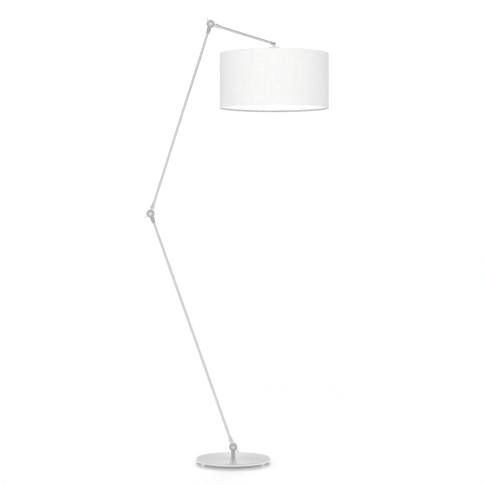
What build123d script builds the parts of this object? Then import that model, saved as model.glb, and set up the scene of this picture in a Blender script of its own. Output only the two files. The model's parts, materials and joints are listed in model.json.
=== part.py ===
from build123d import *
import os
from math import cos, radians, sin

# Adjustable arm floor lamp: a steel disc base, three friction hinges with clamp levers, two long
# arms, a short boom, and a drum shade that hangs level from a small tilt joint at the boom's end.
# Millimetres, +Z up. Origin: centre of the base on the floor. The arms move in the XZ plane and
# every hinge turns about Y. The clamp levers face -Y, the front.

# Base
BASE_D = 343.0
BASE_T = 10.5
FOOT_D = 22.0
FOOT_H = 11.5
FOOT_CIRCLE_R = 153.0
FOOT_ANGLES = (90.0, 210.0, 330.0)
COUNTERBORE_DEPTH = 5.0
BOLT_HEX_H = 6.0
STEM_WASHER_T = 2.0
STEM_R = 10.0
BASE_PIVOT_Z = 73.6

# Arms: length from pivot to pivot, and lean from vertical towards +X
LOWER_LENGTH = 1139.5
LOWER_LEAN = -19.43
UPPER_LENGTH = 910.0
UPPER_LEAN = 17.65
BOOM_LENGTH = 305.0
BOOM_LEAN = 107.2
TUBE_R = 6.0
TUBE_WALL = 1.5
CABLE_R = 3.0

# Friction hinge: a tongue between two cheeks, on one shoulder bolt
CHEEK_R = 19.0
CHEEK_T = 4.6
TONGUE_R = 18.5
TONGUE_T = 9.0
LINING_T = 0.9
FACE_GAP = 0.05
PIVOT_R = 4.0
THREAD_R = 3.0
RUNNING_GAP = 0.05
BOLT_HEAD_R = 8.0
BOLT_HEAD_T = 5.0
SLOT_DEPTH = 20.5
EYE_SHOULDER = 22.5
SOCKET_R = 10.5
SOCKET_MOUTH_R = 7.0
SOCKET_LENGTH = 26.0
SOCKET_COLLAR = 3.0
SEAT_DEPTH = 20.0
SET_SCREW_R = 2.0

# Clamp lever: direction of the tip from the pivot, in degrees from +X towards +Z
LEVER_REACH = 27.5
LEVER_BALL_R = 3.5
LEVER_HUB_R = 7.0
LEVER_HUB_T = 10.0
BASE_LEVER_ANGLE = -38.0
KNEE_LEVER_ANGLE = -141.0
TOP_LEVER_ANGLE = 126.0

# Tilt joint at the boom's end
TILT_CHEEK_R = 8.5
TILT_CHEEK_T = 3.8
TILT_TONGUE_R = 8.2
TILT_TONGUE_T = 6.0
TILT_GAP = 0.2
TILT_PIN_R = 2.0
TILT_SHOULDER = 14.0
SPIGOT_LENGTH = 14.0

# Lamp head, as heights below the tilt pivot
NECK_R = 7.5
NECK_TOP = 9.2
CANOPY_R = 27.5
CANOPY_TOP = 15.0
CANOPY_H = 22.0
NIPPLE_R = 5.0
HOLDER_R = 19.5
BULB_R = 30.0

# Shade
SHADE_R = 250.0
SHADE_H = 250.0
SHADE_TOP = 46.0
FABRIC_T = 1.0
LINING_BACK_T = 0.95
RING_WIRE_R = 2.0
RING_R = 245.2
SPIDER_ARMS = (90.0, 210.0, 330.0)

base_top = FOOT_H + BASE_T
half_tongue = TONGUE_T / 2
cheek_in = half_tongue + LINING_T + 2 * FACE_GAP
cheek_out = cheek_in + CHEEK_T


def along(start, lean, distance):
    """Point at a distance from start in the XZ plane, in the direction of lean."""
    a = radians(lean)
    return Vector(start.X + distance * sin(a), 0, start.Z + distance * cos(a))


base_pivot = Vector(0, 0, BASE_PIVOT_Z)
knee_pivot = along(base_pivot, LOWER_LEAN, LOWER_LENGTH)
top_pivot = along(knee_pivot, UPPER_LEAN, UPPER_LENGTH)
tilt_pivot = along(top_pivot, BOOM_LEAN, BOOM_LENGTH)


def placed(shape, pivot, lean=0.0):
    """Puts a shape drawn about its pivot, pointing along +Z, at a pivot and a lean."""
    return Location((pivot.X, 0, pivot.Z), (0, lean, 0)) * shape


def y_cylinder(radius, y_from, y_to, x=0.0, z=0.0):
    """Cylinder along Y between two Y values."""
    height = abs(y_to - y_from)
    return Pos(x, (y_from + y_to) / 2, z) * Rot(90, 0, 0) * Cylinder(radius, height)


def z_cylinder(radius, z_from, z_to, x=0.0, y=0.0):
    """Cylinder along Z between two heights."""
    return Pos(x, y, (z_from + z_to) / 2) * Cylinder(radius, abs(z_to - z_from))


def z_ring(inner, outer, z_from, z_to):
    """Flat ring or short tube about Z."""
    return z_cylinder(outer, z_from, z_to) - z_cylinder(inner, z_from - 1, z_to + 1)


def y_ring(inner, outer, y_from, y_to):
    """Washer about Y."""
    low, high = sorted((y_from, y_to))
    return y_cylinder(outer, low, high) - y_cylinder(inner, low - 1, high + 1)


# ---------------------------------------------------------------- hinge halves


def socket_body(start):
    """Turned socket about +Z: a short collar, then a taper down to the tube's mouth."""
    end = start + SOCKET_LENGTH
    outline = Polyline(
        (0, start),
        (SOCKET_R, start),
        (SOCKET_R, start + SOCKET_COLLAR),
        (SOCKET_MOUTH_R, end - 1.0),
        (SOCKET_MOUTH_R - 0.4, end),
        (0, end),
        close=True,
    )
    return revolve(Plane.XZ * make_face(outline), Axis.Z)


def socket_bores(start):
    """Tube seat from the mouth inwards, and the set screw's hole from the back."""
    end = start + SOCKET_LENGTH
    seat = z_cylinder(TUBE_R + RUNNING_GAP, end - SEAT_DEPTH, end + 1)
    screw = y_cylinder(SET_SCREW_R + RUNNING_GAP, 0, SOCKET_R + 2, z=set_screw_z(start))
    return seat + screw


def set_screw_z(start):
    return start + SOCKET_LENGTH - SEAT_DEPTH + 4.0


def fork_head():
    """Two cheek discs and the stub that carries them, slotted for the tongue."""
    stub = z_cylinder(SOCKET_R, 0, SLOT_DEPTH)
    stub &= Box(60, 2 * cheek_out, 2 * SLOT_DEPTH)
    stub -= Box(60, 2 * cheek_in, 2 * SLOT_DEPTH)
    for side in (-1, 1):
        disc = y_cylinder(CHEEK_R, side * cheek_in, side * cheek_out)
        rim = disc.edges().filter_by(GeomType.CIRCLE)
        disc = chamfer([e for e in rim if abs(e.center().Y) > cheek_out - 0.1], 0.8)
        groove = y_ring(10.0, 15.5, side * (cheek_out - 0.7), side * (cheek_out + 1))
        stub += disc - groove
    return stub - y_cylinder(PIVOT_R + RUNNING_GAP, -20, 20)


def fork_socket():
    """Parent half of a hinge: fork head and tube socket in one turned and milled piece."""
    wire_way = z_cylinder(3.5, SLOT_DEPTH - 2, SLOT_DEPTH + 10)
    body = fork_head() + socket_body(SLOT_DEPTH)
    return body - socket_bores(SLOT_DEPTH) - wire_way


def eye_socket():
    """Child half of a hinge: round tongue and tube socket in one piece."""
    disc = y_cylinder(TONGUE_R, -half_tongue, half_tongue)
    neck = Pos(0, 0, EYE_SHOULDER / 2) * Box(16, TONGUE_T, EYE_SHOULDER + 1)
    body = disc + neck + socket_body(EYE_SHOULDER)
    return body - y_cylinder(PIVOT_R + RUNNING_GAP, -20, 20) - socket_bores(EYE_SHOULDER)


def set_screw(start):
    """Headless screw in the socket's wall, tip on the tube."""
    z = set_screw_z(start)
    screw = y_cylinder(SET_SCREW_R, TUBE_R + RUNNING_GAP, SOCKET_R - 1.6, z=z)
    key = y_cylinder(1.0, SOCKET_R - 2.8, SOCKET_R, z=z)
    return screw - key


def shoulder_bolt():
    """Hinge bolt from the back: domed head, shoulder through both halves, threaded end."""
    head = y_cylinder(BOLT_HEAD_R, cheek_out, cheek_out + BOLT_HEAD_T)
    rim = head.edges().filter_by(GeomType.CIRCLE).sort_by(Axis.Y)[-1]
    head = fillet(rim, 2.5)
    tail = cheek_out + 8.0
    body = head + y_cylinder(PIVOT_R, -cheek_out, cheek_out + 1)
    body += y_cylinder(THREAD_R, -tail, -cheek_out + 1)
    key = extrude(Plane.XZ.offset(-cheek_out - BOLT_HEAD_T) * RegularPolygon(2.9, 6), 3)
    return body - key


def friction_linings():
    """Fibre washers between the tongue and each cheek."""
    near = half_tongue + FACE_GAP
    front = y_ring(PIVOT_R + 0.1, 17.0, -near, -near - LINING_T)
    back = y_ring(PIVOT_R + 0.1, 17.0, near, near + LINING_T)
    return front + back


def thrust_washer():
    """Steel washer between the front cheek and the lever's hub."""
    return y_ring(THREAD_R + 0.1, 8.5, -cheek_out, -cheek_out - 1.0)


def clamp_lever():
    """Hub nut with one slim arm and a ball end, pointing along +Z."""
    near = -cheek_out - 1.0 - FACE_GAP
    far = near - LEVER_HUB_T
    hub = y_cylinder(LEVER_HUB_R, near, far)
    front_rim = hub.edges().filter_by(GeomType.CIRCLE).sort_by(Axis.Y)[0]
    hub = fillet(front_rim, 2.0)
    root = Vector(0, near - 5.0, 0)
    tip = Vector(0, near - 8.0, LEVER_REACH)
    run = tip - root
    arm = Plane(origin=root, z_dir=run) * Pos(0, 0, run.length / 2) * Cone(2.6, 1.9, run.length)
    ball = Pos(tip.X, tip.Y, tip.Z) * Sphere(LEVER_BALL_R)
    bore = y_cylinder(THREAD_R + RUNNING_GAP, near + 1, -cheek_out - 8.5)
    return hub + arm + ball - bore


def tube(length):
    """Straight arm tube about +Z, from its lower end."""
    return z_ring(TUBE_R - TUBE_WALL, TUBE_R, 0, length)


# ---------------------------------------------------------------- base


def base_plate():
    """Thick steel disc with eased edges, drilled and counterbored for the stem's bolt."""
    plate = z_cylinder(BASE_D / 2, FOOT_H, base_top)
    rims = plate.edges().filter_by(GeomType.CIRCLE).sort_by(Axis.Z)
    plate = fillet(rims[-1], 2.0)
    low_rim = plate.edges().filter_by(GeomType.CIRCLE).sort_by(Axis.Z)[0]
    plate = chamfer(low_rim, 0.8)
    plate -= z_cylinder(5.5, 0, 40)
    return plate - z_cylinder(13.0, 0, FOOT_H + COUNTERBORE_DEPTH)


def feet():
    """Three soft round bumpers under the plate's edge."""
    group = []
    for angle in FOOT_ANGLES:
        x = FOOT_CIRCLE_R * cos(radians(angle))
        y = FOOT_CIRCLE_R * sin(radians(angle))
        foot = z_cylinder(FOOT_D / 2, 0, FOOT_H)
        foot = fillet(foot.edges().filter_by(GeomType.CIRCLE), 1.5)
        group.append(Pos(x, y, 0) * foot)
    return Compound(children=group)


def stem():
    """Short post on the plate: fork head at the top, threaded below, cable way to the back."""
    length = BASE_PIVOT_Z - base_top
    post = fork_head() + z_cylinder(STEM_R, SLOT_DEPTH, length)
    post -= z_cylinder(5.05, length - 14, length + 1)
    post -= z_cylinder(3.5, SLOT_DEPTH - 1, length - 20)
    return post - y_cylinder(4.0, 0, 20, z=length - 20)


def stem_bolt():
    """Hexagon bolt up through the plate into the stem."""
    seat = FOOT_H + COUNTERBORE_DEPTH - STEM_WASHER_T
    head = Pos(0, 0, seat - BOLT_HEX_H) * extrude(RegularPolygon(9.0, 6), BOLT_HEX_H)
    return head + z_cylinder(5.0, seat, base_top + 12)


def stem_washer():
    seat = FOOT_H + COUNTERBORE_DEPTH
    return z_ring(5.3, 11.0, seat - STEM_WASHER_T, seat)


def cable_grommet():
    """Rubber bush in the stem's back, where the mains lead enters."""
    z = BASE_PIVOT_Z - (BASE_PIVOT_Z - base_top - 20)
    bush = y_cylinder(3.9, 4, 12, z=z) + y_cylinder(5.5, 10.1, 12, z=z)
    return bush - y_cylinder(2.8, 0, 20, z=z)


# ---------------------------------------------------------------- boom end and lamp head


def boom_end_fork():
    """Small fork on the boom's end, with a spigot inside the tube. Points back along the boom."""
    inner = TILT_TONGUE_T / 2 + TILT_GAP
    outer = inner + TILT_CHEEK_T
    slot_depth = TILT_CHEEK_R + 1.0
    shoulder = TILT_SHOULDER
    body = z_cylinder(outer + 0.4, 0, slot_depth)
    body &= Box(40, 2 * outer, 2 * slot_depth)
    body -= Box(40, 2 * inner, 2 * slot_depth)
    body += z_cylinder(outer + 0.4, slot_depth, shoulder)
    for side in (-1, 1):
        body += y_cylinder(TILT_CHEEK_R, side * inner, side * outer)
    spigot_r = TUBE_R - TUBE_WALL - RUNNING_GAP
    body += z_cylinder(spigot_r, shoulder - 1, shoulder + SPIGOT_LENGTH)
    body -= z_cylinder(2.0, 0, shoulder + SPIGOT_LENGTH + 1)
    return body - y_cylinder(TILT_PIN_R + RUNNING_GAP, -20, 20)


def tilt_screw():
    """Dark round-headed pivot screw from the front."""
    outer = TILT_TONGUE_T / 2 + TILT_GAP + TILT_CHEEK_T
    head = y_cylinder(4.0, -outer, -outer - 2.6)
    rim = head.edges().filter_by(GeomType.CIRCLE).sort_by(Axis.Y)[0]
    head = fillet(rim, 1.2)
    key = extrude(Plane.XZ.offset(outer + 2.6) * RegularPolygon(1.45, 6), -1.6)
    return head + y_cylinder(TILT_PIN_R, -outer - 1, outer + 4.5) - key


def tilt_nut():
    outer = TILT_TONGUE_T / 2 + TILT_GAP + TILT_CHEEK_T
    nut = extrude(Plane.XZ.offset(-outer) * RegularPolygon(4.04, 6), -3.2)
    return nut - y_cylinder(TILT_PIN_R + 0.02, 0, 20)


def tilt_eye():
    """Tongue of the tilt joint, with the round neck that the canopy hangs from."""
    disc = y_cylinder(TILT_TONGUE_R, -TILT_TONGUE_T / 2, TILT_TONGUE_T / 2)
    web = Pos(0, 0, -NECK_TOP / 2) * Box(12, TILT_TONGUE_T, NECK_TOP + 1)
    body = disc + web + z_cylinder(NECK_R, -CANOPY_TOP, -NECK_TOP)
    body -= z_cylinder(NIPPLE_R + 0.02, -CANOPY_TOP - 1, -NECK_TOP - 1.2)
    return body - y_cylinder(TILT_PIN_R + RUNNING_GAP, -20, 20)


def canopy():
    """Spun metal cup over the top of the lamp holder, open below."""
    low = -CANOPY_TOP - CANOPY_H
    cup = z_cylinder(CANOPY_R, low, -CANOPY_TOP)
    rim = cup.edges().filter_by(GeomType.CIRCLE).sort_by(Axis.Z)[-1]
    cup = fillet(rim, 3.0)
    hollow = z_cylinder(CANOPY_R - 1.2, low - 1, -CANOPY_TOP - 1.2)
    top_edge = hollow.edges().filter_by(GeomType.CIRCLE).sort_by(Axis.Z)[-1]
    cup -= fillet(top_edge, 2.0)
    return cup - z_cylinder(NIPPLE_R + 0.1, low, 0)


def nipple():
    """Threaded tube that joins neck, canopy and holder."""
    return z_ring(3.6, NIPPLE_R, -CANOPY_TOP - 20, -NECK_TOP - 1.4)


def holder_cap():
    """Upper half of the lamp holder, screwed on the nipple."""
    top = -CANOPY_TOP - 12
    low = top - 34
    cap = z_cylinder(HOLDER_R + 1, low, top)
    rim = cap.edges().filter_by(GeomType.CIRCLE).sort_by(Axis.Z)[-1]
    cap = fillet(rim, 5.0)
    cap -= z_cylinder(HOLDER_R - 1.5, low - 1, top - 6)
    return cap - z_cylinder(NIPPLE_R + 0.05, low, top + 1)


def holder_skirt():
    """Lower half of the lamp holder, with the flange that the shade's spider hangs on."""
    top = -CANOPY_TOP - 46
    low = top - 38
    skirt = z_cylinder(HOLDER_R, low, top) + z_cylinder(23.5, top - 8.4, top - 6)
    return skirt - z_cylinder(HOLDER_R - 2.0, low - 1, top + 1)


def holder_insert():
    """Ceramic contact block inside the holder."""
    top = -CANOPY_TOP - 46
    return z_cylinder(HOLDER_R - 2.2, top - 10, top)


def shade_ring():
    """Plastic ring nut that clamps the spider against the holder's flange."""
    top = -CANOPY_TOP - 46 - 10.1
    nut = z_ring(HOLDER_R + 0.05, 27.0, top - 8, top)
    for i in range(12):
        angle = radians(30 * i)
        nut -= z_cylinder(1.6, top - 9, top + 1, x=27.8 * cos(angle), y=27.8 * sin(angle))
    return nut


def bulb_cap():
    """Metal screw cap of the bulb, inside the holder: a thin shell closed at the top."""
    top = -CANOPY_TOP - 46 - 10.1
    return z_cylinder(13.3, top - 27, top) - z_cylinder(12.5, top - 28, top - 1.5)


def bulb_outline(wall):
    """Solid of the bulb's envelope less a wall: a neck that opens into a globe."""
    top = -CANOPY_TOP - 46 - 37.1
    neck = Pos(0, 0, top - 16) * Cone(21 - wall, 13.3 - wall, 32)
    return Pos(0, 0, top - 50) * Sphere(BULB_R - wall) + neck


def bulb_globe():
    """Frosted bulb envelope, open where its neck meets the cap."""
    return bulb_outline(0.0) - bulb_outline(1.0)


# ---------------------------------------------------------------- shade

shade_high = -SHADE_TOP
shade_low = -SHADE_TOP - SHADE_H


def ring_wire(z):
    return Pos(0, 0, z) * Torus(RING_R, RING_WIRE_R)


def top_ring():
    return ring_wire(shade_high - 4.0)


def bottom_ring():
    return ring_wire(shade_low + 4.0)


def spider():
    """Hub ring and three arms that carry the shade, brazed to the top ring."""
    hub_z = -CANOPY_TOP - 46 - 8.45
    frame = z_ring(HOLDER_R + 0.7, 30.0, hub_z - 1.5, hub_z)
    start = Vector(29.0, 0, hub_z - 0.75)
    end = Vector(RING_R, 0, shade_high - 4.0)
    run = end - start
    arm = Plane(origin=start, z_dir=run) * Pos(0, 0, run.length / 2) * Cylinder(1.75, run.length)
    for angle in SPIDER_ARMS:
        frame += Rot(0, 0, angle) * arm
    return frame - top_ring()


def shade_fabric():
    """Woven outer skin of the drum."""
    return z_ring(SHADE_R - FABRIC_T, SHADE_R, shade_low, shade_high)


def shade_lining():
    """White laminated backing inside the fabric."""
    outer = SHADE_R - FABRIC_T - 0.05
    return z_ring(outer - LINING_BACK_T, outer, shade_low, shade_high)


def rim_trim(edge, inward):
    """Folded fabric tape over one edge of the wall. Inward is -1 at the top and 1 below."""
    outer = SHADE_R + 0.45
    inner = SHADE_R - 2.6
    low, high = sorted((edge - inward * 0.5, edge + inward * 8.0))
    tape = z_ring(inner, outer, low, high)
    gap_low, gap_high = sorted((edge - inward * 0.05, edge + inward * 9.0))
    return tape - z_ring(SHADE_R - 2.05, SHADE_R + 0.05, gap_low, gap_high)


def top_trim():
    return rim_trim(shade_high, -1)


def bottom_trim():
    return rim_trim(shade_low, 1)


# ---------------------------------------------------------------- assembly

parts = {
    "base_plate": base_plate(),
    "base_feet": feet(),
    "stem": placed(stem(), base_pivot, 180),
    "stem_bolt": stem_bolt(),
    "stem_washer": stem_washer(),
    "cable_grommet": cable_grommet(),
}

# One set of hinge hardware at each of the three clamped hinges
hinges = {
    "base": (base_pivot, BASE_LEVER_ANGLE),
    "knee": (knee_pivot, KNEE_LEVER_ANGLE),
    "top": (top_pivot, TOP_LEVER_ANGLE),
}
for hinge, (pivot, lever_angle) in hinges.items():
    parts[f"{hinge}_pivot_bolt"] = placed(shoulder_bolt(), pivot)
    parts[f"{hinge}_friction_linings"] = placed(friction_linings(), pivot)
    parts[f"{hinge}_thrust_washer"] = placed(thrust_washer(), pivot)
    parts[f"{hinge}_clamp_lever"] = placed(clamp_lever(), pivot, 90 - lever_angle)

# Lower and upper arm: eye at the lower end, fork at the upper end
eye_seat = EYE_SHOULDER + SOCKET_LENGTH - SEAT_DEPTH
fork_seat = SLOT_DEPTH + SOCKET_LENGTH - SEAT_DEPTH
arms = {
    "lower": (base_pivot, knee_pivot, LOWER_LEAN, LOWER_LENGTH),
    "upper": (knee_pivot, top_pivot, UPPER_LEAN, UPPER_LENGTH),
}
for arm, (start, end, lean, length) in arms.items():
    tube_length = length - eye_seat - fork_seat
    tube_start = along(start, lean, eye_seat)
    parts[f"{arm}_eye"] = placed(eye_socket(), start, lean)
    parts[f"{arm}_tube"] = placed(tube(tube_length), tube_start, lean)
    parts[f"{arm}_fork"] = placed(fork_socket(), end, lean + 180)
    parts[f"{arm}_cable"] = placed(z_cylinder(CABLE_R, 0, tube_length), tube_start, lean)
    eye_screw = placed(set_screw(EYE_SHOULDER), start, lean)
    fork_screw = placed(set_screw(SLOT_DEPTH), end, lean + 180)
    parts[f"{arm}_set_screws"] = Compound(children=[eye_screw, fork_screw])

# Boom: eye at the top hinge, small fork at the shade's tilt joint
boom_tube_length = BOOM_LENGTH - eye_seat - TILT_SHOULDER
boom_start = along(top_pivot, BOOM_LEAN, eye_seat)
boom_cable_length = boom_tube_length - SPIGOT_LENGTH - 0.5
boom_cable = z_cylinder(CABLE_R, 0, boom_cable_length)
parts["boom_eye"] = placed(eye_socket(), top_pivot, BOOM_LEAN)
parts["boom_tube"] = placed(tube(boom_tube_length), boom_start, BOOM_LEAN)
parts["boom_cable"] = placed(boom_cable, boom_start, BOOM_LEAN)
parts["boom_set_screw"] = placed(set_screw(EYE_SHOULDER), top_pivot, BOOM_LEAN)
parts["boom_end_fork"] = placed(boom_end_fork(), tilt_pivot, BOOM_LEAN + 180)
parts["tilt_screw"] = placed(tilt_screw(), tilt_pivot)
parts["tilt_nut"] = placed(tilt_nut(), tilt_pivot)

# Lamp head and shade, hanging plumb from the tilt pivot
head_pieces = (
    tilt_eye,
    canopy,
    nipple,
    holder_cap,
    holder_skirt,
    holder_insert,
    shade_ring,
    bulb_cap,
    bulb_globe,
    spider,
    top_ring,
    bottom_ring,
    shade_fabric,
    shade_lining,
    top_trim,
    bottom_trim,
)
for piece in head_pieces:
    parts[piece.__name__] = placed(piece(), tilt_pivot)

os.makedirs("parts", exist_ok=True)
for name, shape in parts.items():
    export_step(shape, f"parts/{name}.step")
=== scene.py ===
import json
import math
import random

import bpy
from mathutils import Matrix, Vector


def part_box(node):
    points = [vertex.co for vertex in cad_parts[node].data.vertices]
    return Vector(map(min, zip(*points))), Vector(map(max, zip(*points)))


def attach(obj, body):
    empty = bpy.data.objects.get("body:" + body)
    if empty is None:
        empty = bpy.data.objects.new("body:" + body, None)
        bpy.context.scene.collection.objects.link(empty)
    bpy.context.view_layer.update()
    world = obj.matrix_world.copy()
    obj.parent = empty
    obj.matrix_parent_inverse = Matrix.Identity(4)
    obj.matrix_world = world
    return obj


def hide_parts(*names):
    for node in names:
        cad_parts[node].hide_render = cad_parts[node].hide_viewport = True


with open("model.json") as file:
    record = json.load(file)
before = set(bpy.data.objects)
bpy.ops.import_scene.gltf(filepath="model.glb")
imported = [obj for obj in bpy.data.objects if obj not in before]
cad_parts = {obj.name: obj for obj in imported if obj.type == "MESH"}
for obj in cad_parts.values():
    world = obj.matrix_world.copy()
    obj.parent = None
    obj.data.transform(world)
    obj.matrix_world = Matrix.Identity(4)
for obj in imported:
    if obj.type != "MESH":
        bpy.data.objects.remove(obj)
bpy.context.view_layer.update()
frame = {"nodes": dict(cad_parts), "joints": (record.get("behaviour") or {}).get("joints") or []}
cad = frame["nodes"]
hinges = {joint["name"]: joint for joint in frame["joints"]}

# ------------------------------------------------------------------ camera
# A long portrait lens stands nearly seven metres in front of the lamp at chest height and looks
# down a little, so that the base is seen from just above and the shade from just below.
lens_mm = 108.32
eye_place = Vector((0.0428, -6.7, 1.1658))
eye_tilt = math.radians(1.285)

camera_data = bpy.data.cameras.new("camera")
camera_data.lens = lens_mm
camera_data.sensor_width = 36.0
camera = bpy.data.objects.new("camera", camera_data)
camera.location = eye_place
camera.rotation_euler = (math.pi / 2 - eye_tilt, 0, 0)
bpy.context.scene.collection.objects.link(camera)
bpy.context.scene.camera = camera
bpy.context.scene.view_settings.view_transform = "Standard"

# ------------------------------------------------------------------ studio
# A light table under a white tent: the floor is an opal sheet with a little light in it, so that
# shadows stay pale. A broad lamp behind, flagged off the object, throws a short soft shadow
# forward on the floor, and a fill stands in front.
floor_half = 30.0
floor_white = (0.93, 0.93, 0.93, 1)
floor_glow = 0.08
tent_side = 0.66
tent_front = 0.86
tent_top = 0.36
gloss_low = 1.02
gloss_high = 0.62
backdrop = 1.05


def node(tree, kind, inputs=None, **settings):
    """Adds a shader node. Inputs are numbers, colours, or another node's output to join on."""
    made = tree.nodes.new(kind)
    for key, value in settings.items():
        setattr(made, key, value)
    for key, value in (inputs or {}).items():
        if isinstance(value, bpy.types.NodeSocket):
            tree.links.new(value, made.inputs[key])
        else:
            made.inputs[key].default_value = value
    return made


def maths(tree, operation, *values, **settings):
    """Output of one arithmetic step on numbers or sockets."""
    inputs = dict(enumerate(values))
    return node(tree, "ShaderNodeMath", inputs, operation=operation, **settings).outputs[0]


def finish_material(name):
    """A new material, with its tree and its shader."""
    material = bpy.data.materials.new(name)
    material.use_nodes = True
    tree = material.node_tree
    return material, tree, tree.nodes["Principled BSDF"]


def mesh_piece(name, points, faces, material, body):
    """Makes a smooth-shaded mesh from points and faces, and rides it on a CAD body."""
    mesh = bpy.data.meshes.new(name)
    mesh.from_pydata([tuple(p) for p in points], [], faces)
    mesh.validate()
    mesh.materials.append(material)
    mesh.polygons.foreach_set("use_smooth", [True] * len(mesh.polygons))
    mesh.set_sharp_from_angle(angle=math.radians(38))
    piece = bpy.data.objects.new(name, mesh)
    bpy.context.scene.collection.objects.link(piece)
    if body:
        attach(piece, body)
    return piece


floor_sheet, tree, shader = finish_material("studio_floor")
shader.inputs["Base Color"].default_value = floor_white
shader.inputs["Roughness"].default_value = 0.9
shader.inputs["Specular IOR Level"].default_value = 0.1
shader.inputs["Emission Color"].default_value = (1, 1, 1, 1)
shader.inputs["Emission Strength"].default_value = floor_glow
floor_signs = ((-1, -1), (1, -1), (1, 1), (-1, 1))
corners = [(x * floor_half, y * floor_half, 0) for x, y in floor_signs]
floor = mesh_piece("studio_floor", corners, [(0, 1, 2, 3)], floor_sheet, None)

world = bpy.data.worlds.new("studio_tent")
bpy.context.scene.world = world
world.use_nodes = True
tree = world.node_tree
tree.nodes.clear()


def ramp(tree, value, start, end, low, high):
    """A number that goes smoothly from low to high as the value goes from start to end."""
    return node(
        tree,
        "ShaderNodeMapRange",
        {"Value": value, "From Min": start, "From Max": end, "To Min": low, "To Max": high},
        interpolation_type="SMOOTHSTEP",
    ).outputs[0]


direction = node(tree, "ShaderNodeTexCoord").outputs["Generated"]
axes = node(tree, "ShaderNodeSeparateXYZ", {0: direction})
height = axes.outputs["Z"]
frontal = maths(tree, "ABSOLUTE", axes.outputs["Y"])
walls = ramp(tree, frontal, 0.0, 1.0, tent_side, tent_front)
overhead = ramp(tree, height, 0.3, 0.9, 0.0, 1.0)
soft_light = node(tree, "ShaderNodeMix", {"Factor": overhead, 2: walls, 3: tent_top}).outputs[0]
mirrored = ramp(tree, height, 0.26, 0.56, gloss_low, gloss_high)
ray = node(tree, "ShaderNodeLightPath")
tent = node(
    tree, "ShaderNodeMix", {"Factor": ray.outputs["Is Glossy Ray"], 2: soft_light, 3: mirrored}
).outputs[0]
strength = node(
    tree, "ShaderNodeMix", {"Factor": ray.outputs["Is Camera Ray"], 2: tent, 3: backdrop}
).outputs[0]
white = node(tree, "ShaderNodeBackground", {"Color": (1, 1, 1, 1), "Strength": strength})
node(tree, "ShaderNodeOutputWorld", {"Surface": white.outputs[0]})


def broad_lamp(name, elevation, azimuth, width, power):
    """A far soft lamp. Azimuth 0 stands it in front of the object, 180 behind."""
    data = bpy.data.lights.new(name, "SUN")
    data.angle = math.radians(width)
    data.energy = power
    light = bpy.data.objects.new(name, data)
    light.rotation_euler = (math.radians(90 - elevation), 0, math.radians(azimuth))
    light.visible_glossy = False
    bpy.context.scene.collection.objects.link(light)
    return light


back_lamp = broad_lamp("back_lamp", 24, 180, 26, 3.0)
broad_lamp("front_fill", 10, -6, 60, 1.30)

floor_only = bpy.data.collections.new("floor_only")
floor_only.objects.link(floor)
back_lamp.light_linking.receiver_collection = floor_only

# ------------------------------------------------------------------ base plate
# A steel disc as thick as a finger, nickel plated and left satin. It was spun under an abrasive,
# so its top has fine rings round the middle. Its eased edges are painted a little brighter, partly
# as rubbed wear and partly as a painted highlight.
nickel = (0.82, 0.82, 0.815, 1)
# Edge colour: painted brighter, partly rubbed wear and partly a painted highlight.
nickel_edge_wear_and_highlight = (0.88, 0.88, 0.875, 1)


def object_place(tree, centre=(0, 0, 0), lean=0.0):
    """Coordinates measured from a centre, with +Z turned by lean about Y, in metres."""
    own = node(tree, "ShaderNodeTexCoord").outputs["Object"]
    turned = node(
        tree,
        "ShaderNodeMapping",
        {"Vector": own, "Location": tuple(centre), "Rotation": (0, lean, 0)},
        vector_type="TEXTURE",
    )
    return turned.outputs[0]


def vector_maths(tree, operation, *values):
    """Output of one step on vectors, or its length."""
    made = node(tree, "ShaderNodeVectorMath", dict(enumerate(values)), operation=operation)
    return made.outputs["Value" if operation == "LENGTH" else "Vector"]


def scaled(tree, vector, factor):
    """A vector times a number."""
    inputs = {0: vector, "Scale": factor}
    return node(tree, "ShaderNodeVectorMath", inputs, operation="SCALE").outputs["Vector"]


def noise(tree, place, scale, detail=2.0, roughness=0.5):
    """Cloudy noise from 0 to 1."""
    inputs = {"Vector": place, "Scale": scale, "Detail": detail, "Roughness": roughness}
    return node(tree, "ShaderNodeTexNoise", inputs).outputs["Fac"]


def spread(tree, value, low, high):
    """A number from 0 to 1, moved to run from low to high."""
    inputs = {"Value": value, "To Min": low, "To Max": high}
    return node(tree, "ShaderNodeMapRange", inputs).outputs[0]


def emboss(tree, shader, height, strength, depth):
    """Raises the surface by a height from 0 to 1, times a depth in metres."""
    inputs = {"Height": height, "Strength": strength, "Distance": depth}
    bump = node(tree, "ShaderNodeBump", inputs)
    tree.links.new(bump.outputs[0], shader.inputs["Normal"])


def ring_coordinate(tree, place, axis):
    """Distance from an axis, and the unit direction round it, so that rings have no seam."""
    keep = {"Z": (1, 1, 0), "Y": (1, 0, 1)}[axis]
    flat = vector_maths(tree, "MULTIPLY", place, keep)
    return vector_maths(tree, "LENGTH", flat), vector_maths(tree, "NORMALIZE", flat)


def brushed_lines(tree, along, around, pitch, wander):
    """Fine tool marks that follow one coordinate and wander slowly round the piece."""
    fine = maths(tree, "MULTIPLY", along, 1 / pitch)
    slow = node(tree, "ShaderNodeSeparateXYZ", {0: scaled(tree, around, wander)}).outputs
    vector = node(tree, "ShaderNodeCombineXYZ", {0: fine, 1: slow["X"], 2: slow["Y"]}).outputs[0]
    return noise(tree, vector, 1.0, 3.0, 0.6)


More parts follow.
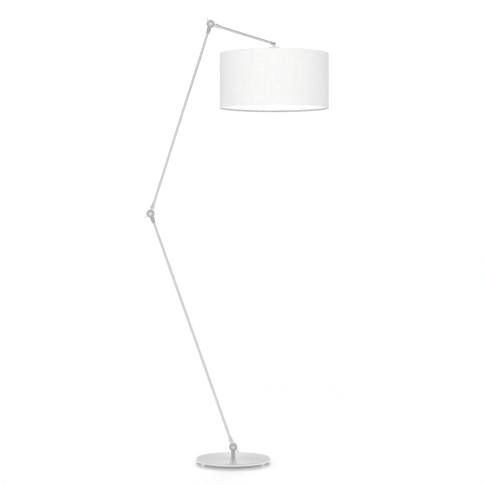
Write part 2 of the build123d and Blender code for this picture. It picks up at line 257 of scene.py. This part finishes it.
def satin_metal(tree, shader, marks, place, colours, roughness, depth):
    """Metal shader: tool marks in bump and roughness, cloudy handling marks, edges painted brighter
    as wear and painted highlight.
    """
    # Convex edges take the second colour: partly rubbed wear, partly a painted highlight.
    edge = node(tree, "ShaderNodeNewGeometry").outputs["Pointiness"]
    edge_wear_and_highlight = node(tree, "ShaderNodeMapRange", {"Value": edge, "From Min": 0.52, "From Max": 0.60})
    mix = {"Factor": edge_wear_and_highlight.outputs[0], 6: colours[0], 7: colours[1]}
    plain = node(tree, "ShaderNodeMix", mix, data_type="RGBA").outputs[2]
    toned = scaled(tree, plain, spread(tree, marks, 0.93, 1.05))
    clouds = spread(tree, noise(tree, place, 14.0, 4.0, 0.55), -0.04, 0.04)
    brushed = spread(tree, marks, roughness - 0.05, roughness + 0.06)
    rough = maths(tree, "ADD", brushed, clouds)
    tree.links.new(toned, shader.inputs["Base Color"])
    tree.links.new(rough, shader.inputs["Roughness"])
    emboss(tree, shader, marks, 0.16, depth)
    shader.inputs["Metallic"].default_value = 1.0


plate_ring_pitch = 0.00045

plate_finish, tree, shader = finish_material("spun_satin_nickel")
place = object_place(tree)
radius, around = ring_coordinate(tree, place, "Z")
marks = brushed_lines(tree, radius, around, plate_ring_pitch, 3.0)
satin_metal(tree, shader, marks, place, (nickel, nickel_edge_wear_and_highlight), 0.37, 0.00002)
spin = node(tree, "ShaderNodeTangent", direction_type="RADIAL", axis="Z").outputs[0]
tree.links.new(spin, shader.inputs["Tangent"])
shader.inputs["Anisotropic"].default_value = 0.55


def finish_node(name, material):
    """Gives a CAD node its finish in every material slot."""
    for slot in cad[name].material_slots:
        slot.material = material


finish_node("base_plate", plate_finish)

# ------------------------------------------------------------------ feet
# Three self-adhesive bumpers of clear soft plastic, pressed on under the plate's edge. They look
# milky, because their flat faces are moulded matt.
bumper_plastic, tree, shader = finish_material("milky_bumper")
grain = noise(tree, object_place(tree), 900.0)
tree.links.new(spread(tree, grain, 0.22, 0.42), shader.inputs["Roughness"])
emboss(tree, shader, grain, 0.2, 0.0001)
shader.inputs["Base Color"].default_value = (0.90, 0.92, 0.92, 1)
shader.inputs["Transmission Weight"].default_value = 0.12
shader.inputs["IOR"].default_value = 1.45
finish_node("base_feet", bumper_plastic)

# ------------------------------------------------------------------ hinge castings
# Every socket, fork and eye is one turned and milled steel piece, nickel plated and satin. The
# tapers keep the lathe's rings round the arm, and the round cheeks have rings round the pivot.
# The second colour of each pair goes on convex edges, partly as wear and partly as painted highlight.
eye_nickel = ((0.66, 0.66, 0.655, 1), (0.80, 0.80, 0.79, 1))
# The forks and the stem take a darker copy of the same nickel: painted shade of the joints.
shaded_fork_nickel = ((0.44, 0.44, 0.435, 1), (0.66, 0.66, 0.65, 1))
cheek_reach = 0.0193
taper_ring_pitch, cheek_ring_pitch = 0.00030, 0.00028


def turned_nickel(name, colours, pivot, lean):
    """Finish of one hinge half, with rings round the arm and rings round the pivot."""
    material, tree, shader = finish_material(name)
    place = object_place(tree, pivot, lean)
    height = node(tree, "ShaderNodeSeparateXYZ", {0: place}).outputs["Z"]
    round_arm = ring_coordinate(tree, place, "Z")[1]
    from_pivot, round_pivot = ring_coordinate(tree, place, "Y")
    taper = brushed_lines(tree, height, round_arm, taper_ring_pitch, 2.0)
    cheek = brushed_lines(tree, from_pivot, round_pivot, cheek_ring_pitch, 2.0)
    on_cheek = maths(tree, "LESS_THAN", from_pivot, cheek_reach)
    marks = node(tree, "ShaderNodeMix", {"Factor": on_cheek, 2: taper, 3: cheek}).outputs[0]
    satin_metal(tree, shader, marks, place, colours, 0.27, 0.000015)
    return material


def pivot_of(joint):
    return Vector(hinges[joint]["pos_m"])


def lean_between(start, end):
    """Angle from vertical towards +X of the line between two pivots."""
    run = end - start
    return math.atan2(run.x, run.z)


base_pivot = pivot_of("base_hinge")
knee_pivot = pivot_of("knee_hinge")
top_pivot = pivot_of("top_hinge")
tilt_pivot = pivot_of("shade_tilt")
lower_lean = lean_between(base_pivot, knee_pivot)
upper_lean = lean_between(knee_pivot, top_pivot)
boom_lean = lean_between(top_pivot, tilt_pivot)

finish_node("stem", turned_nickel("stem_nickel", shaded_fork_nickel, base_pivot, math.pi))
finish_node("lower_eye", turned_nickel("lower_eye_nickel", eye_nickel, base_pivot, lower_lean))
finish_node("lower_fork", turned_nickel("lower_fork_nickel", shaded_fork_nickel, knee_pivot, lower_lean))
finish_node("upper_eye", turned_nickel("upper_eye_nickel", eye_nickel, knee_pivot, upper_lean))
finish_node("upper_fork", turned_nickel("upper_fork_nickel", shaded_fork_nickel, top_pivot, upper_lean))
finish_node("boom_eye", turned_nickel("boom_eye_nickel", eye_nickel, top_pivot, boom_lean))
finish_node("boom_end_fork", turned_nickel("boom_fork_nickel", shaded_fork_nickel, tilt_pivot, boom_lean))
finish_node("tilt_eye", turned_nickel("tilt_eye_nickel", eye_nickel, tilt_pivot, 0.0))

# ------------------------------------------------------------------ screws and washers
# Bought hardware in zinc-plated steel: the bolt and washer under the base, the hinge bolts, the
# thrust washers, the set screws, the tilt nut and the threaded tube. The tilt screw is blackened.
# The second colour of each pair goes on convex edges, partly as wear and partly as painted highlight.
zinc = ((0.60, 0.60, 0.61, 1), (0.78, 0.78, 0.78, 1))
blackened = ((0.30, 0.30, 0.30, 1), (0.44, 0.44, 0.44, 1))

plated_steel, tree, shader = finish_material("plated_steel")
place = object_place(tree)
crystals = node(
    tree, "ShaderNodeTexVoronoi", {"Vector": place, "Scale": 1400.0}, feature="F1"
).outputs["Distance"]
satin_metal(tree, shader, crystals, place, zinc, 0.30, 0.00001)

for name in (
    "stem_bolt",
    "stem_washer",
    "base_pivot_bolt",
    "knee_pivot_bolt",
    "top_pivot_bolt",
    "base_thrust_washer",
    "knee_thrust_washer",
    "top_thrust_washer",
    "lower_set_screws",
    "upper_set_screws",
    "boom_set_screw",
    "tilt_nut",
    "nipple",
    "bulb_cap",
):
    finish_node(name, plated_steel)

black_steel, tree, shader = finish_material("blackened_steel")
place = object_place(tree)
oxide = noise(tree, place, 1100.0, 3.0)
satin_metal(tree, shader, oxide, place, blackened, 0.38, 0.00001)
finish_node("tilt_screw", black_steel)

# ------------------------------------------------------------------ friction linings
# Two discs of pressed brown fibre in each hinge, which the clamp squeezes between the tongue and
# the cheeks. Only their rims show.
pressed_fibre, tree, shader = finish_material("pressed_fibre")
flecks = noise(tree, object_place(tree), 2600.0, 5.0, 0.7)
fibre_tone = node(tree, "ShaderNodeValToRGB", {"Fac": flecks})
fibre_tone.color_ramp.elements[0].position = 0.35
fibre_tone.color_ramp.elements[0].color = (0.045, 0.035, 0.028, 1)
fibre_tone.color_ramp.elements[1].position = 0.70
fibre_tone.color_ramp.elements[1].color = (0.15, 0.12, 0.09, 1)
tree.links.new(fibre_tone.outputs[0], shader.inputs["Base Color"])
emboss(tree, shader, flecks, 0.5, 0.0001)
shader.inputs["Roughness"].default_value = 0.85
for name in ("base_friction_linings", "knee_friction_linings", "top_friction_linings"):
    finish_node(name, pressed_fibre)

# ------------------------------------------------------------------ clamp levers
# One small lever a hinge: a turned hub that screws onto the pivot bolt, a slim arm and a ball end.
# They are tumbled smooth and nickel plated, so they shine more than the castings.
# The second colour goes on convex edges, partly as wear and partly as painted highlight.
tumbled_nickel = ((0.74, 0.74, 0.735, 1), (0.86, 0.86, 0.855, 1))

lever_nickel, tree, shader = finish_material("lever_nickel")
place = object_place(tree)
tumbled = noise(tree, place, 700.0, 4.0)
satin_metal(tree, shader, tumbled, place, tumbled_nickel, 0.20, 0.00001)
for name in ("base_clamp_lever", "knee_clamp_lever", "top_clamp_lever"):
    finish_node(name, lever_nickel)

# ------------------------------------------------------------------ arm tubes
# Drawn steel tube, 12 mm across, polished lengthwise and plated in satin nickel. Each end is
# pushed into its socket and held there by a set screw.
# The second colour goes on convex edges, partly as wear and partly as painted highlight.
tube_nickel = ((0.58, 0.58, 0.575, 1), (0.64, 0.64, 0.635, 1))
scratch_spread = (5200.0, 5200.0, 22.0)


def drawn_nickel(name, pivot, lean):
    """Tube finish: long fine scratches along the arm."""
    material, tree, shader = finish_material(name)
    place = object_place(tree, pivot, lean)
    marks = noise(tree, vector_maths(tree, "MULTIPLY", place, scratch_spread), 1.0, 3.0, 0.6)
    satin_metal(tree, shader, marks, place, tube_nickel, 0.26, 0.000012)
    return material


finish_node("lower_tube", drawn_nickel("lower_tube_nickel", base_pivot, lower_lean))
finish_node("upper_tube", drawn_nickel("upper_tube_nickel", knee_pivot, upper_lean))
finish_node("boom_tube", drawn_nickel("boom_tube_nickel", top_pivot, boom_lean))

# ------------------------------------------------------------------ cable and grommet
# A two-core cable with a pale smooth sheath runs inside the tubes. It comes in through a soft
# black rubber bush in the back of the stem.
sheath, tree, shader = finish_material("cable_sheath")
speck = noise(tree, object_place(tree), 1500.0)
tree.links.new(spread(tree, speck, 0.35, 0.5), shader.inputs["Roughness"])
shader.inputs["Base Color"].default_value = (0.62, 0.62, 0.60, 1)
for name in ("lower_cable", "upper_cable", "boom_cable"):
    finish_node(name, sheath)

grommet_rubber, tree, shader = finish_material("grommet_rubber")
emboss(tree, shader, noise(tree, object_place(tree), 2200.0, 3.0), 0.4, 0.0001)
shader.inputs["Base Color"].default_value = (0.022, 0.022, 0.022, 1)
shader.inputs["Roughness"].default_value = 0.72
finish_node("cable_grommet", grommet_rubber)

# ------------------------------------------------------------------ canopy
# A shallow cup spun from thin sheet and plated like the arms. It hides the holder's neck, and its
# rings run round the plumb line that the lamp hangs on.
# The second colour goes on convex edges, partly as wear and partly as painted highlight.
canopy_nickel = ((0.80, 0.80, 0.795, 1), (0.88, 0.88, 0.875, 1))
canopy_ring_pitch = 0.00035

canopy_finish, tree, shader = finish_material("canopy_nickel")
plumb = (tilt_pivot.x, tilt_pivot.y, 0)
place = object_place(tree, plumb)
radius, around = ring_coordinate(tree, place, "Z")
height = node(tree, "ShaderNodeSeparateXYZ", {0: place}).outputs["Z"]
outline_way = maths(tree, "SUBTRACT", radius, height)
marks = brushed_lines(tree, outline_way, around, canopy_ring_pitch, 2.0)
satin_metal(tree, shader, marks, place, canopy_nickel, 0.27, 0.000015)
finish_node("canopy", canopy_finish)

# ------------------------------------------------------------------ lamp holder
# An E27 holder moulded in white thermoplastic: a domed cap, and a skirt with a raised thread for
# the ring nut that clamps the shade's spider. A ceramic block inside carries the contacts.
white_holder, tree, shader = finish_material("holder_plastic")
ripple = noise(tree, object_place(tree), 420.0, 3.0)
tree.links.new(spread(tree, ripple, 0.22, 0.34), shader.inputs["Roughness"])
emboss(tree, shader, ripple, 0.15, 0.0001)
shader.inputs["Base Color"].default_value = (0.82, 0.82, 0.79, 1)
for name in ("holder_cap", "shade_ring"):
    finish_node(name, white_holder)

ceramic, tree, shader = finish_material("contact_ceramic")
emboss(tree, shader, noise(tree, object_place(tree), 3000.0, 4.0), 0.4, 0.0001)
shader.inputs["Base Color"].default_value = (0.72, 0.70, 0.65, 1)
shader.inputs["Roughness"].default_value = 0.8
finish_node("holder_insert", ceramic)


def turned_body(name, centre, sections, material, body, closed=True):
    """Joins outlines of (radius, height), one a step round the centre, into one skin."""
    steps, rows = len(sections), len(sections[0])
    points = []
    for step, section in enumerate(sections):
        angle = 2 * math.pi * step / steps
        for r, z in section:
            points.append((centre[0] + r * math.cos(angle), centre[1] + r * math.sin(angle), z))
    faces = []
    last = rows if closed else rows - 1
    for step in range(steps):
        here, after = step * rows, (step + 1) % steps * rows
        for row in range(last):
            up = (row + 1) % rows
            faces.append((here + row, after + row, after + up, here + up))
    return mesh_piece(name, points, faces, material, body)


skirt_low, skirt_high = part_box("holder_skirt")
thread_pitch, thread_depth, skirt_wall = 0.0025, 0.0007, 0.0022
skirt_r, flange_r = 0.0195, (skirt_high.x - skirt_low.x) / 2
flange_low, flange_high = skirt_high.z - 0.0084, skirt_high.z - 0.0060
flange_ease = 0.0004
skirt_steps, thread_rows = 96, 90
skirt_sections = []
for step in range(skirt_steps):
    turn = step / skirt_steps
    section = [(skirt_r - skirt_wall, skirt_high.z), (skirt_r - skirt_wall, skirt_low.z + 0.0006)]
    section.append((skirt_r - skirt_wall + 0.0005, skirt_low.z))
    for row in range(thread_rows + 1):
        z = skirt_low.z + (flange_low - skirt_low.z) * row / thread_rows
        phase = (z - skirt_low.z) / thread_pitch - turn
        crest = 0.5 - 0.5 * math.cos(2 * math.pi * phase)
        section.append((skirt_r - thread_depth * (1 - crest ** 0.6), z))
    section += [(flange_r - flange_ease, flange_low), (flange_r, flange_low + flange_ease)]
    section += [(flange_r, flange_high - flange_ease), (flange_r - flange_ease, flange_high)]
    section += [(skirt_r, flange_high), (skirt_r, skirt_high.z)]
    skirt_sections.append(section)
plumb_centre = (tilt_pivot.x, tilt_pivot.y)
skirt = turned_body(
    "threaded_holder_skirt", plumb_centre, skirt_sections, white_holder, "lamp_head"
)
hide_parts("holder_skirt")

# ------------------------------------------------------------------ bulb
# A 60 mm frosted bulb: a thin glass envelope with a white coat inside, blown in one piece from
# the narrow neck to the globe. Its metal cap is already inside the holder.
globe_low, globe_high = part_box("bulb_globe")
globe_r = (globe_high.x - globe_low.x) / 2
neck_r, neck_straight = 0.0130, 0.004
glass_wall = 0.0008
globe_length = globe_high.z - globe_low.z


def envelope(r_max, r_neck, inset):
    """Outline of the bulb from its lowest point up to the neck."""
    outline = []
    bowl_steps, shoulder_steps = 22, 30
    for i in range(bowl_steps):
        a = math.pi / 2 * (i + 0.04) / bowl_steps
        outline.append((r_max * math.sin(a), globe_low.z + globe_r - r_max * math.cos(a)))
    shoulder = globe_length - globe_r - neck_straight
    for i in range(shoulder_steps + 1):
        share = i / shoulder_steps
        r = r_neck + (r_max - r_neck) * (0.5 + 0.5 * math.cos(math.pi * share)) ** 1.05
        outline.append((r, globe_low.z + globe_r + shoulder * share))
    outline.append((r_neck, globe_high.z - inset))
    return outline


frosted, tree, shader = finish_material("frosted_glass")
frost = noise(tree, object_place(tree), 260.0, 3.0)
tree.links.new(spread(tree, frost, 0.24, 0.34), shader.inputs["Roughness"])
shader.inputs["Base Color"].default_value = (0.90, 0.89, 0.86, 1)
shader.inputs["IOR"].default_value = 1.5
shader.inputs["Coat Weight"].default_value = 0.3
shader.inputs["Coat Roughness"].default_value = 0.12
skin = envelope(globe_r, neck_r, 0.0) + envelope(globe_r - glass_wall, neck_r - glass_wall, 0.0)[::-1]
bulb = turned_body("frosted_bulb", plumb_centre, [skin] * 72, frosted, "lamp_head")
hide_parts("bulb_globe")

# ------------------------------------------------------------------ spider and rings
# The shade's wire frame: a pressed hub ring with three rods brazed to the top ring, and a loose
# ring in the bottom edge. It is steel wire, barrel plated in nickel, so it is evenly fine-grained.
# The second colour goes on convex edges, partly as wear and partly as painted highlight.
wire_nickel = ((0.50, 0.50, 0.495, 1), (0.66, 0.66, 0.655, 1))

ring_wire, tree, shader = finish_material("ring_wire")
place = object_place(tree)
barrel = noise(tree, place, 1300.0)
satin_metal(tree, shader, barrel, place, wire_nickel, 0.34, 0.00001)
for name in ("spider", "top_ring", "bottom_ring"):
    finish_node(name, ring_wire)

# ------------------------------------------------------------------ shade lining
# A strip of white laminate rolled into a drum, with its ends lapped and glued at the back. It
# stiffens the cloth outside it and throws the light down. It is given a faint painted glow inside,
# an emission that stands in for daylight soaking through the wall.
wall_low, wall_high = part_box("shade_fabric")
drum_r = (wall_high.x - wall_low.x) / 2
seam_angle = math.pi / 2
around_steps, up_steps = 480, 10
drum_swell, lap_width, edge_gap = 0.0002, 0.014, 0.0008
random.seed(7)
lobes = [(count, random.uniform(0, 2 * math.pi)) for count in (2, 3, 5, 9)]


def out_of_round(angle, depth):
    """Slow swell of the drum, at most the given depth."""
    return depth * sum(math.sin(count * angle + phase) / len(lobes) for count, phase in lobes)


def lap(angle, width, step_height):
    """Extra height where the strip's outer end lies over its start: a sharp edge, a soft tail."""
    away = ((angle - seam_angle + math.pi) % (2 * math.pi) - math.pi) * drum_r
    if not -width / 2 <= away <= width / 2:
        return 0.0
    return step_height * min(1.0, (width / 2 - away) / (0.6 * width))


def drum_sections(inner, outer, box_low, box_high, lap_height):
    """Closed wall sections all round the drum, a little short of the box at top and bottom."""
    low, high = box_low.z + edge_gap, box_high.z - edge_gap
    sections = []
    for step in range(around_steps):
        angle = 2 * math.pi * step / around_steps
        shift = out_of_round(angle, drum_swell)
        proud = lap(angle, lap_width, lap_height)
        heights = [low + (high - low) * i / up_steps for i in range(up_steps + 1)]
        section = [(outer + shift + proud, z) for z in heights]
        section += [(inner + shift, z) for z in reversed(heights)]
        sections.append(section)
    return sections


lining_low, lining_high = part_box("shade_lining")
lining_r = (lining_high.x - lining_low.x) / 2
laminate_inner, laminate_outer = lining_r - 0.0009, lining_r - 0.0003

laminate, tree, shader = finish_material("white_laminate")
place = object_place(tree, plumb)
calender = noise(tree, place, 55.0, 5.0, 0.6)
tree.links.new(spread(tree, calender, 0.45, 0.60), shader.inputs["Roughness"])
emboss(tree, shader, calender, 0.15, 0.0004)
shader.inputs["Base Color"].default_value = (0.92, 0.92, 0.92, 1)
# Painted glow: a faint emission on the laminate, though the lamp is not lit.
shader.inputs["Emission Color"].default_value = (1, 1, 1, 1)
shader.inputs["Emission Strength"].default_value = 0.19
sections = drum_sections(laminate_inner, laminate_outer, lining_low, lining_high, 0.0)
lining = turned_body("laminate_lining", plumb_centre, sections, laminate, "lamp_head")
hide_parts("shade_lining")

# ------------------------------------------------------------------ shade cloth
# A plain-woven off-white cloth glued round the laminate, with one upright lap at the back. Its
# threads are about 0.6 mm apart, uneven and slubbed, mostly round the drum.
thread_gap = 0.0006
cloth_white = (0.90, 0.90, 0.895, 1)
cloth_shade = (0.75, 0.75, 0.745, 1)
cloth_inner, cloth_outer = drum_r - 0.0008, drum_r - 0.0003
cloth_lap = 0.0005


def woven_cloth(name):
    """Cloth shader: crossing threads in bump, slubs and uneven dye in colour, painted weave shade, a
    soft sheen.
    """
    material, tree, shader = finish_material(name)
    place = object_place(tree, plumb)
    parts = node(tree, "ShaderNodeSeparateXYZ", {0: place}).outputs
    angle = maths(tree, "ARCTAN2", parts["Y"], parts["X"])
    warps = round(2 * math.pi * drum_r / thread_gap / 2)
    upright = maths(tree, "MULTIPLY", angle, float(warps))
    straight = maths(tree, "MULTIPLY", parts["Z"], math.pi / thread_gap)
    level = maths(tree, "MULTIPLY_ADD", noise(tree, place, 90.0), 2.4, straight)
    warp, weft = maths(tree, "SINE", upright), maths(tree, "SINE", level)
    crossing = maths(tree, "MULTIPLY", warp, weft)
    around = ring_coordinate(tree, place, "Z")[1]
    weft_way = vector_maths(tree, "MULTIPLY", around, (9, 9, 0))
    weft_rows = vector_maths(tree, "MULTIPLY", place, (0, 0, 900))
    slub = noise(tree, vector_maths(tree, "ADD", weft_way, weft_rows), 1.0, 4.0, 0.65)
    warp_place = vector_maths(tree, "MULTIPLY", place, (900, 900, 9))
    streak = noise(tree, warp_place, 1.0, 4.0, 0.65)
    uneven = maths(tree, "ADD", slub, streak)
    dye = {"Value": uneven, "From Min": 0.62, "From Max": 1.30}
    tone = node(tree, "ShaderNodeMapRange", dye).outputs[0]
    # Painted shade and light in the weave: the colour is darkened and lightened where the threads
    # cross.
    shadow = {"Value": crossing, "From Min": -1.0, "To Min": -0.10, "To Max": 0.10}
    weave_shade = node(tree, "ShaderNodeMapRange", shadow).outputs[0]
    tone = maths(tree, "ADD", tone, weave_shade, use_clamp=True)
    mix = {"Factor": tone, 6: cloth_shade, 7: cloth_white}
    colour = node(tree, "ShaderNodeMix", mix, data_type="RGBA").outputs[2]
    emboss(tree, shader, maths(tree, "MULTIPLY_ADD", uneven, 1.6, crossing), 0.45, 0.00012)
    tree.links.new(colour, shader.inputs["Base Color"])
    shader.inputs["Roughness"].default_value = 0.88
    shader.inputs["Specular IOR Level"].default_value = 0.2
    shader.inputs["Sheen Weight"].default_value = 0.08
    shader.inputs["Sheen Roughness"].default_value = 0.5
    return material


cloth = woven_cloth("woven_shade_cloth")
sections = drum_sections(cloth_inner, cloth_outer, wall_low, wall_high, cloth_lap)
drum = turned_body("woven_drum", plumb_centre, sections, cloth, "lamp_head")
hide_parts("shade_fabric")

# ------------------------------------------------------------------ hems
# Each edge is bound with a strip of the same cloth, folded over the wall and glued on both sides.
# The ring wire lies against its inner face.
hem_cloth, hem_height, fold_steps = 0.0004, 0.0080, 9
hem_outer, hem_inner = drum_r + 0.0002, drum_r - 0.0025
hem_overhang, hem_lap_width = 0.0004, 0.010


def hem_section(edge, inward, shift):
    """Closed U-shaped section of one hem. Inward is the way from the edge into the wall."""
    middle = (hem_outer + hem_inner) / 2
    half = (hem_outer - hem_inner) / 2
    turn = edge + inward * (half - hem_overhang)
    top = edge + inward * hem_height
    outside, inside = [(hem_outer, top)], [(hem_outer - hem_cloth, top)]
    for i in range(fold_steps + 1):
        a = math.pi * i / fold_steps
        outside.append((middle + half * math.cos(a), turn - inward * half * math.sin(a)))
        thin = half - hem_cloth
        inside.append((middle + thin * math.cos(a), turn - inward * thin * math.sin(a)))
    outside.append((hem_inner, top))
    inside.append((hem_inner + hem_cloth, top))
    return [(r + shift, z) for r, z in outside + inside[::-1]]


def bound_hem(name, edge, inward, stands_for):
    sections = []
    for step in range(around_steps):
        angle = 2 * math.pi * step / around_steps
        shift = out_of_round(angle, drum_swell) + lap(angle, hem_lap_width, hem_cloth)
        sections.append(hem_section(edge, inward, shift))
    hem = turned_body(name, plumb_centre, sections, cloth, "lamp_head")
    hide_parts(stands_for)
    return hem


top_hem = bound_hem("top_hem", wall_high.z, -1, "top_trim")
bottom_hem = bound_hem("bottom_hem", wall_low.z, 1, "bottom_trim")
